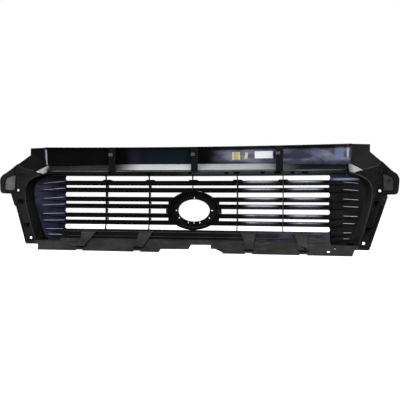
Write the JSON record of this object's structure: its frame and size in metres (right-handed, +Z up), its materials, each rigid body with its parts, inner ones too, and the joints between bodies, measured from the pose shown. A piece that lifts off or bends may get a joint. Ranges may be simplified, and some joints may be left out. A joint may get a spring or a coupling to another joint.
{
  "type": "front grille",
  "caption": "Wide front grille with paired horizontal bars, an oval emblem seat, blank ends, swept-back wings, a header above and a sloping apron below.",
  "frame": {"origin": "centre of the bounding box", "axes": "+Z up, -Y towards the visible front, +Y towards the engine, +X to the vehicle's left"},
  "size_m": [1.295, 0.1458, 0.349],
  "materials": {
    "gloss_black": "smooth moulded black, glossy",
    "overspray_black": "black with a thin violet-blue overspray",
    "matte_grey": "fine-grained charcoal",
    "ledge_grey": "satin grey",
    "gusset_grey": "pale grey with a fine cross-hatch",
    "arm_grey": "fine-grained grey",
    "steel": "zinc plated sheet",
    "pale_grey": "matte pale grey",
    "label_white": "blank white label",
    "label_yellow": "blank yellow label"
  },
  "bodies": {
    "root": {"emblem_base": "gloss_black", "bar_1": "gloss_black", "bar_2": "gloss_black", "bar_3_left": "gloss_black", "bar_3_right": "gloss_black", "bar_4_left": "gloss_black", "bar_4_right": "gloss_black", "bar_5_left": "gloss_black", "bar_5_right": "gloss_black", "bar_6_left": "gloss_black", "bar_6_right": "gloss_black", "mullion_1": "gloss_black", "mullion_2": "gloss_black", "mullion_3": "gloss_black", "mullion_4": "gloss_black", "mullion_5": "gloss_black", "bar_clip_1": "gloss_black", "bar_clip_2": "gloss_black", "bar_clip_3": "gloss_black", "bar_clip_4": "gloss_black", "bar_clip_5": "gloss_black", "surround_upper": "gloss_black", "header_bracket_1": "gloss_black", "header_bracket_2": "gloss_black", "header_bracket_3": "gloss_black", "surround_lower": "overspray_black", "end_panel_left": "overspray_black", "end_panel_right": "overspray_black", "header_panel": "matte_grey", "surround_side_left": "matte_grey", "surround_side_right": "matte_grey", "wing_left": "matte_grey", "wing_right": "matte_grey", "lower_apron": "matte_grey", "surround_ledge": "ledge_grey", "corner_gusset_left": "gusset_grey", "corner_gusset_right": "gusset_grey", "apron_arm_1": "arm_grey", "apron_arm_2": "arm_grey", "apron_arm_3": "arm_grey", "apron_arm_4": "arm_grey", "bracket_nut_1": "steel", "bracket_nut_2": "steel", "bracket_nut_3": "steel", "tip_pad_left": "pale_grey", "tip_pad_right": "pale_grey", "label_white": "label_white", "label_yellow": "label_yellow", "label_tag": "label_yellow"}
  },
  "joints": []
}
